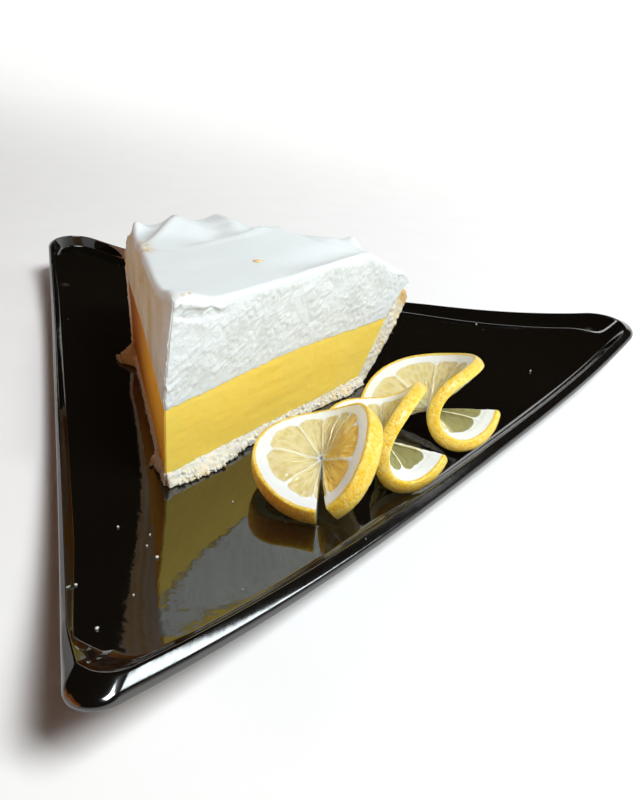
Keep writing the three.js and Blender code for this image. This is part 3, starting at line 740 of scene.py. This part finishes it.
def swirl_height(swirl, x, y):
    line, rise, nub, steep, gentle, groove, reach = swirl
    stations = slice_point(*np.array(line, dtype=float).T, 0.0)[:, :2]
    spans = np.diff(stations, axis=0)
    lengths = np.hypot(*spans.T)
    distance = np.full(x.shape, np.inf)
    share = np.zeros(x.shape)
    side = np.zeros(x.shape)
    for i, length in enumerate(lengths):
        dx, dy = spans[i] / length
        px, py = x - stations[i, 0], y - stations[i, 1]
        along = np.clip(px * dx + py * dy, 0, length)
        away = np.hypot(px - dx * along, py - dy * along)
        closer = away < distance
        distance = np.where(closer, away, distance)
        share = np.where(closer, (lengths[:i].sum() + along) / lengths.sum(), share)
        side = np.where(closer, dx * py - dy * px, side)
    steep_side = side < 0
    crest = rise * (1 - share ** 1.5) * np.exp(-(distance / np.where(steep_side, steep, gentle)) ** 1.5)
    middle = np.sin(np.pi * share ** 0.75)
    from_groove = np.where(steep_side, distance, -distance) - 1.1 * reach
    swept = groove * middle * np.exp(-(from_groove / reach) ** 2)
    lip = 0.35 * groove * middle * np.exp(-(distance / 2.2) ** 2)
    to_tip = np.hypot(x - stations[0, 0], y - stations[0, 1])
    return crest - swept + lip + nub * np.exp(-(to_tip / 3.0) ** 2)


def meringue_top(r, angle):
    x, y = np.moveaxis(slice_point(r, angle, 0.0)[..., :2], -1, 0)
    z = MERINGUE_TOP - (MERINGUE_TOP - MERINGUE_EDGE[1]) * smooth(r, *SHOULDER)
    z = z + 3.5 * np.exp(-((r - 5) / 9) ** 2)
    for swirl in SWIRLS:
        z = z + swirl_height(swirl, x, y) * (1 - smooth(r, 111, 117))
    # the knife leaves a soft shoulder where the top meets a cut face
    plan = np.stack([x, y, 0 * x], -1)
    radius = 1.7 + 0.7 * lumps(plan, 7, 2, seed=15)
    inside = r * np.sin(np.radians(np.maximum(0, HALF_ANGLE - np.abs(angle))))
    into = np.clip(1 - inside / radius, 0, 1)
    z = z - radius * (1 - np.sqrt(1 - into ** 2)) * smooth(r, 1, 6)
    return z + 0.16 * lumps(plan, 11, 2, seed=13) + 0.05 * lumps(plan, 3.0, 2, seed=14)


def meringue_place(u, v, w):
    angle = mix(-HALF_ANGLE, HALF_ANGLE, crowd_edges(v))
    low = mix(TIP_RADIUS, FILLING_RADIUS, u)
    high = mix(TIP_RADIUS, MERINGUE_EDGE[0], u)
    top = meringue_top(high, angle)
    r = mix(low, high, w)
    z = mix(filling_top(low), top, w)
    # over the rim, the outer end follows these stations up from the filling
    edge_top = meringue_top(np.full_like(angle, MERINGUE_EDGE[0]), angle)
    stations_r = [FILLING_RADIUS, RIM_INNER[0] - 0.4, RIM_TOP[0], BULGE[0], MERINGUE_EDGE[0] + 1.8]
    stations_z = [FILLING_TOP + 0.3, RIM_INNER[1] + 0.3, RIM_TOP[1] + 1.5, BULGE[1],
                  mix(BULGE[1], MERINGUE_EDGE[1], 0.7)]
    end_r = np.interp(w, np.arange(6) / 5, stations_r + [MERINGUE_EDGE[0]])
    end_z = np.interp(w, np.arange(6) / 5, stations_z + [0.0])
    last = np.clip((w - 0.8) / 0.2, 0, 1)
    end_z = np.where(w > 0.8, mix(stations_z[4], edge_top, last), end_z)
    blend = smooth(u, 0.82, 1)
    r = r + blend * (end_r - mix(FILLING_RADIUS, MERINGUE_EDGE[0], w))
    z = z + blend * (end_z - mix(FILLING_TOP + 0.3, edge_top, w))
    points = slice_point(r, angle, z)
    # the left face leans in over its outer half
    lean_in = 1.7 * w ** 1.5 * smooth(r, 70, 112) * smooth(v, 0.6, 1)
    points = points - face_normal(-1) * lean_in[:, None]
    lean = TIP_LEAN[0] * w ** 1.4 * np.exp(-(r - TIP_RADIUS) / TIP_LEAN[1])
    turn = math.radians(HALF_ANGLE)
    points[:, 0] += math.sin(turn) * lean
    points[:, 1] += math.cos(turn) * lean
    return points


def cut_foam(points, v):
    """The relief of a cut face, in millimetres: bubbles laid open and drawn out by the knife."""
    r, z = np.hypot(points[:, 0], points[:, 1]), points[:, 2]
    slant = math.radians(24)
    along = r * math.cos(slant) + z * math.sin(slant)
    across = z * math.cos(slant) - r * math.sin(slant)
    drawn = np.stack([along * 0.85, across, 9 * v], -1)
    bubbles = np.abs(lumps(drawn, 2.2, 1, seed=11)) - 0.35
    small = np.abs(lumps(drawn, 1.3, 1, seed=12)) - 0.35
    right = 0.26 * bubbles + 0.26 * small + 0.20 * lumps(drawn, 6, 2, seed=17)
    upright = np.stack([r, z * 0.28, 9 * v], -1)
    pores = lumps(upright, 1.1, 2, seed=16)
    left = 0.22 * pores - 0.7 * smooth(pores, 0.45, 0.9) + 0.15 * lumps(points, 5, 1, seed=18)
    return np.where(v < 0.5, right, left)


meringue_points, meringue_faces, u, v, w = block(330, 76, 88, meringue_place, plain_floor=True)
on_cut = (v == 0) | (v == 1)
foam = cut_foam(meringue_points, v)
upper = np.clip((1 - w) * 18, 0, 1)
lower = smooth(w, 0, 0.05)
meringue_relief = np.where(on_cut, mix(0.10, foam + 0.15, lower) * upper, 0)
# the top sheet laps a little over the right cut face near the tip and shades the foam below
r = np.hypot(meringue_points[:, 0], meringue_points[:, 1])
below_top = (1 - w) * 27
along_lap = smooth(r, 1, 4) * (1 - smooth(r, 17, 25)) * (v == 0)
wavy = 1.0 + 0.5 * lumps(meringue_points, 5, 2, seed=23)
lap = smooth(below_top, 0.2, 0.9) * (1 - smooth(below_top, 1.6 * wavy, 2.4 * wavy))
meringue_relief += 0.5 * along_lap * lap
meringue_relief -= 0.4 * along_lap * np.exp(-((below_top - 3.6 * wavy) / 1.2) ** 2)
# the lowest bubbles hang a little over the curd, and the tip's edge is torn
hang = (w == 0) & on_cut
ragged = np.abs(lumps(meringue_points, 1.7, 2, seed=19)) + 0.5 * np.abs(lumps(meringue_points, 4, 1, seed=24))
meringue_points[:, 2] -= hang * (0.15 + 0.55 * ragged)
torn = 0.45 * lumps(meringue_points, 1.8, 2, seed=20) * (1 - smooth(r, 0.8, 3)) * upper
meringue_points[:, 0] += torn
# where the oven has just caught the swept edges
toasted = np.zeros(len(r))
for spot_r, spot_angle, width in ((55.4, 26.4, 2.6), (60.5, 26.6, 2.0), (66, 28.2, 3.0), (7.3, -22, 0.7)):
    spot = slice_point(spot_r, spot_angle, 0.0)[:2]
    away = np.hypot(meringue_points[:, 0] - spot[0], meringue_points[:, 1] - spot[1])
    toasted = np.maximum(toasted, np.exp(-(away / width) ** 2) * smooth(w, 0.9, 1))

# Foam scatters the light inside, so it is soft and bright with hardly any gloss. The cut
# faces have painted shade, grey in their pores, and a warm brownish painted shade on the left.
whipped, tree, place = start_material("whisked_egg_white_meringue")
cut = add(tree, "Attribute", attribute_name="cut")
pore = add(tree, "TexNoise", {"Vector": place, "Scale": 1000 / 0.7, "Detail": 2.0, "Roughness": 0.6})
sweep = add(tree, "TexNoise", {"Vector": place, "Scale": 1000 / 14, "Detail": 2.0})
warm = add(tree, "TexNoise", {"Vector": place, "Scale": 1000 / 30, "Detail": 1.0})
tint = add(tree, "MixRGB", {"Fac": warm, "Color1": "#e2e7e5", "Color2": "#e6eae8"})
pore_shade = add(tree, "Attribute", attribute_name="pore_shade")
left_face_warm_shade = add(tree, "Attribute", attribute_name="left_face_warm_shade")
toasted_here = add(tree, "Attribute", attribute_name="toasted")
blot = add(tree, "TexNoise", {"Vector": place, "Scale": 1000 / 1.8, "Detail": 3.0})
blot = add(tree, "MapRange", {"Value": blot, "From Min": 0.35, "From Max": 0.6})
blot = add(tree, "Math", {0: blot, 1: toasted_here.outputs["Fac"]}, operation="MULTIPLY")
# painted shade: grey in the pores, warm brown over the left cut face
for share, colour in ((pore_shade.outputs["Fac"], "#c6c8bf"), (left_face_warm_shade.outputs["Fac"], "#cdb276"), (blot, "#d9b678")):
    tint = add(tree, "MixRGB", {"Fac": share, "Color1": tint, "Color2": colour})
fine = add(tree, "Math", {0: pore, 1: cut.outputs["Fac"]}, operation="MULTIPLY")
relief = add(tree, "Bump", {"Height": fine, "Strength": 0.35, "Distance": 0.0005})
gloss = add(tree, "MapRange", {"Value": sweep, "To Min": 0.5, "To Max": 0.68})
surface = add(tree, "BsdfPrincipled", {"Base Color": tint, "Roughness": gloss,
                                       "IOR": 1.35, "Subsurface Weight": 0.35, "Subsurface Scale": 0.0012,
                                       "Subsurface Radius": (1.0, 0.9, 0.8), "Normal": relief})
add(tree, "OutputMaterial", {"Surface": surface})
meringue = mesh_piece("meringue_swept", to_row(meringue_points), meringue_faces, whipped)
store(meringue, "cut", np.where(on_cut, upper, 0))
# painted shade in the pores, darker where the relief is deeper
store(meringue, "pore_shade", np.where(on_cut, np.clip(-foam * 1.5, 0, 0.6) * upper, 0))
# painted warm shade over the left cut face, lighter near the tip and patchy
near_tip = np.exp(-(r / 14) ** 2)
patchy = 0.75 + 0.25 * lumps(meringue_points, 8, 2, seed=25)
store(meringue, "left_face_warm_shade", (v == 1) * (1 - 0.7 * near_tip) * patchy * upper)
store(meringue, "toasted", toasted)
push_out(meringue, meringue_relief)
meringue.data.set_sharp_from_angle(angle=math.radians(70))
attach(meringue, "root")
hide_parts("meringue")


# ---------------------------------------------------------------------- syrup beads
# Beads of amber syrup that the sugar has wept while it cooled: two side by side on the top
# and a smaller one at the tip. They cling to the meringue.

BEADS = [(55.4, -10.3, 1.5), (56.6, -11.4, 0.9), (7.4, -20.5, 0.5)]  # radius, angle, size

# Clear brown syrup with a wet skin: a warm spot with one small highlight.
amber, tree, place = start_material("sugar_syrup_bead")
swirl = add(tree, "TexNoise", {"Vector": place, "Scale": 1000 / 1.0, "Detail": 2.0})
tint = add(tree, "MixRGB", {"Fac": swirl, "Color1": "#f5dcae", "Color2": "#ecc388"})
surface = add(tree, "BsdfPrincipled", {"Base Color": tint, "Roughness": 0.2, "IOR": 1.45,
                                       "Subsurface Weight": 0.5, "Subsurface Scale": 0.001})
add(tree, "OutputMaterial", {"Surface": surface})
bead_balls = []
for r, angle, size in BEADS:
    ball, ball_faces = crumb_ball(rng, size)
    top = meringue_top(np.array([r]), np.array([angle]))[0]
    lean = TIP_LEAN[0] * math.exp(-(r - TIP_RADIUS) / TIP_LEAN[1])
    centre = slice_point(r, angle, top) + [math.sin(math.radians(HALF_ANGLE)) * lean,
                                           math.cos(math.radians(HALF_ANGLE)) * lean, 0]
    bead_balls.append((to_row(ball * [1, 1, 0.4] + centre), ball_faces))
beads = mesh_piece("syrup_beads", *join(bead_balls), amber)
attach(beads, "root")


# --------------------------------------------------------------------- lemon twists
# Wheels cut across a lemon, slit from the rind to the middle and twisted so that they
# stand: waxy yellow rind, white pith, and wet flesh in segments between thin membranes.

CORE_RADIUS = 0.7
HUB_RADIUS = 2.8
HUB_THICKNESS = 1.6
WHEEL_STEPS = 440
SEGMENTS = 10
# Name, radius, thickness and centre in millimetres, tilt and sweep to both sides in degrees,
# and how sharply the rim bends at even steps round the wheel.
TWISTS = [
    ("front", 20.1, 6.0, (24.3, -78.3), (-74.7, -16.6, -30.1), (193, 163),
     (-0.58, 0.37, 0.15, -0.1, -1.11, 0.24, 0.39, 0.17, -0.85)),
    ("middle", 21.3, 4.3, (40.3, -56.2), (-78.0, -18.3, -19.2), (92, 244),
     (0.71, 1.03, 0.7, -0.81, -1.56, -0.06, 0.06, 2.41, -0.31)),
    ("back", 24.1, 4.0, (53.4, -31.1), (-38.2, 17.3, -90.3), (176, 172),
     (-1.82, 0.34, -0.13, -1.07, -0.53, -0.2, 2.72, 1.21, 0.11)),
]


def wheel_frames(tilt, sweep, bends, steps):
    """The line to the rind, the rim's direction and the face's normal, round the wheel."""
    half = steps // 2
    start = turn_matrix(np.radians(tilt)) @ np.array([[0, 1, 0], [0, 0, 1], [1, 0, 0]], dtype=float)
    frames = [None] * (steps + 1)
    frames[half] = start
    for side in (-1, 1):
        step = side * math.radians(sweep[0] if side < 0 else sweep[1]) / half
        for i in range(half):
            s = side * (i + 0.5) / half
            bend = np.interp((s + 1) / 2, np.linspace(0, 1, len(bends)), bends)
            turned = frames[half + side * i] @ turn_matrix(np.array([bend, 0, 1]) * step)
            frames[half + side * (i + 1)] = turned
    return np.array(frames)


# Waxy rind that glints in its pores, matt white pith and wet flesh that glows a little. The
# wheel's own radius and angle are kept on the mesh, so the rings and segments bend with it.
# A folded flap shows its pith broad and its flesh grey and dull with painted shade; on the
# front wheel's right half a painted warm glow stands in for light shining through thin flesh.
peel, tree, place = start_material("fresh_lemon")
flap_and_shade = add(tree, "Attribute", attribute_name="flap_and_shade").outputs["Fac"]
painted_glow = add(tree, "Attribute", attribute_name="painted_glow").outputs["Fac"]
reach = add(tree, "Attribute", attribute_name="from_rind").outputs["Fac"]
across = add(tree, "Attribute", attribute_name="segment").outputs["Fac"]
radius = add(tree, "Attribute", attribute_name="from_middle").outputs["Fac"]
wander = add(tree, "TexNoise", {"Vector": place, "Scale": 1000 / 3.5, "Detail": 2.0})
shift = add(tree, "MapRange", {"Value": wander, "To Min": -0.5, "To Max": 0.5})
ragged = add(tree, "Math", {0: reach, 1: shift}, operation="ADD")
in_pith = add(tree, "MapRange", {"Value": ragged, "From Min": 0.9, "From Max": 1.5})
# a segment's outer corners are rounded, so the pith reaches in between the segments
corner = add(tree, "Math", {0: across, 1: 5.0}, operation="POWER")
corner = add(tree, "Math", {0: corner, 1: -2.4}, operation="MULTIPLY")
inner = add(tree, "Math", {0: ragged, 1: corner}, operation="ADD")
broad = add(tree, "Math", {0: flap_and_shade, 1: -1.5}, operation="MULTIPLY")
inner = add(tree, "Math", {0: inner, 1: broad}, operation="ADD")
in_flesh = add(tree, "MapRange", {"Value": inner, "From Min": 4.1, "From Max": 4.6})
skin = add(tree, "Attribute", attribute_name="membrane").outputs["Fac"]
in_membrane = add(tree, "MapRange", {"Value": skin, "From Min": 0.18, "From Max": 0.34,
                                     "To Min": 1.0, "To Max": 0.0})
in_core = add(tree, "MapRange", {"Value": radius, "From Min": 1.3, "From Max": 1.9,
                                 "To Min": 1.0, "To Max": 0.0})
sac_place = add(tree, "Attribute", attribute_name="sacs")
sacs = add(tree, "TexVoronoi", {"Vector": sac_place.outputs["Vector"], "Scale": 1.0})
sac_edge = add(tree, "MapRange", {"Value": sacs, "From Min": 0.2, "From Max": 0.7})
flesh = add(tree, "MixRGB", {"Fac": sac_edge, "Color1": "#dccb88", "Color2": "#e4d6a2"})
# painted glow on the front wheel's right half, painted shade on the other wheels' flaps
for share, colour in ((painted_glow, "#ffd458"), (flap_and_shade, "#989464"), (in_membrane, "#ece6c8"), (in_core, "#fbf9ee")):
    flesh = add(tree, "MixRGB", {"Fac": share, "Color1": flesh, "Color2": colour})
pores = add(tree, "TexVoronoi", {"Vector": place, "Scale": 1000 / 0.9})
pit = add(tree, "MapRange", {"Value": pores, "From Min": 0.05, "From Max": 0.45})
mottle = add(tree, "TexNoise", {"Vector": place, "Scale": 1000 / 1.4, "Detail": 2.0})
mottle = add(tree, "MapRange", {"Value": mottle, "From Min": 0.35, "From Max": 0.7})
rind = add(tree, "MixRGB", {"Fac": mottle, "Color1": "#f4c432", "Color2": "#f9da78"})
tint = add(tree, "MixRGB", {"Fac": in_pith, "Color1": rind, "Color2": "#eff1ec"})
tint = add(tree, "MixRGB", {"Fac": in_flesh, "Color1": tint, "Color2": flesh})
wet = add(tree, "MapRange", {"Value": in_flesh, "To Min": 0.30, "To Max": 0.14})
on_rind = add(tree, "Math", {0: 1.0, 1: in_pith}, operation="SUBTRACT")
pitted = add(tree, "Math", {0: pit, 1: on_rind}, operation="MULTIPLY")
pitted = add(tree, "Math", {0: pitted, 1: 0.6}, operation="MULTIPLY")
juicy = add(tree, "Math", {0: sac_edge, 1: in_flesh}, operation="MULTIPLY")
height = add(tree, "Math", {0: pitted, 1: juicy}, operation="ADD")
relief = add(tree, "Bump", {"Height": height, "Strength": 0.7, "Distance": 0.0004})
surface = add(tree, "BsdfPrincipled", {"Base Color": tint, "Roughness": wet,
                                       "IOR": 1.40, "Subsurface Weight": 0.6, "Subsurface Scale": 0.004,
                                       "Subsurface Radius": (1.0, 0.9, 0.7), "Normal": relief})
add(tree, "OutputMaterial", {"Surface": surface})

for name, wheel_radius, thickness, centre, tilt, sweep, bends in TWISTS:
    frames = wheel_frames(tilt, sweep, bends, WHEEL_STEPS)
    turns = np.linspace(-math.radians(sweep[0]), math.radians(sweep[1]), WHEEL_STEPS + 1)

    def wheel_place(u, v, w):
        frame_here = frames[np.round(v * WHEEL_STEPS).astype(int)]
        r = mix(CORE_RADIUS, wheel_radius, u)
        thick = mix(HUB_THICKNESS, thickness, smooth(r, HUB_RADIUS - 0.6, wheel_radius * 0.6))
        barrel = 0.45 * (2 * w - 1) ** 2 * smooth(u, 0.9, 1)
        local = np.stack([r - barrel, 0 * r, (w - 0.5) * thick], -1)
        return np.einsum("nij,nj->ni", frame_here, local)

    points, faces, u, v, w = block(44, WHEEL_STEPS, 10, wheel_place)
    # its lowest point is as high as that of the solid it stands for
    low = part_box("lemon_twist_" + name)[0][2] * 1000
    foot = points[:, 2].min()
    points = points + [centre[0] + PLATE_CENTRE[0], centre[1] + PLATE_CENTRE[1], low - foot]
    r = mix(CORE_RADIUS, wheel_radius, u)
    angle = np.interp(v, np.linspace(0, 1, WHEEL_STEPS + 1), turns)
    within = (angle / (2 * math.pi) * SEGMENTS + 0.37 * np.sin(angle * 1.7)) % 1.0
    middle = np.abs(within - 0.5) * 2
    from_membrane = (1 - middle) / 2 * (2 * math.pi / SEGMENTS) * r
    piece = mesh_piece("lemon_twist_" + name + "_fresh", points, faces, peel)
    store(piece, "from_rind", np.maximum(0, wheel_radius - r))
    store(piece, "from_middle", r)
    store(piece, "segment", middle)
    store(piece, "membrane", from_membrane)
    # the flaps of the middle and back wheels: broader pith and painted shade in the flesh
    store(piece, "flap_and_shade", smooth(v, 0.82, 0.86) * (name != "front"))
    # painted warm glow on the front wheel's right half, standing in for light shining through it
    store(piece, "painted_glow", 0.8 * smooth(v, 0.58, 0.72) * (name == "front"))
    # juice sacs are long towards the middle of the wheel
    store(piece, "sacs", np.stack([r / 3.2, angle * 9.0, w * thickness / 1.6], -1))
    on_face = (w == 0) | (w == 1)
    flesh_zone = smooth(wheel_radius - r, 4.2, 5.2)
    dip = -0.28 * flesh_zone * smooth(from_membrane, 0.15, 0.7) * on_face
    dip = dip + 0.12 * lumps(points, 1.4, 2, seed=21) * flesh_zone * on_face
    dip = dip - 0.10 * np.abs(lumps(points, 1.1, 1, seed=22)) * (u == 1)
    push_out(piece, dip)
    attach(piece, "root")
    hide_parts("lemon_twist_" + name)


low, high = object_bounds()
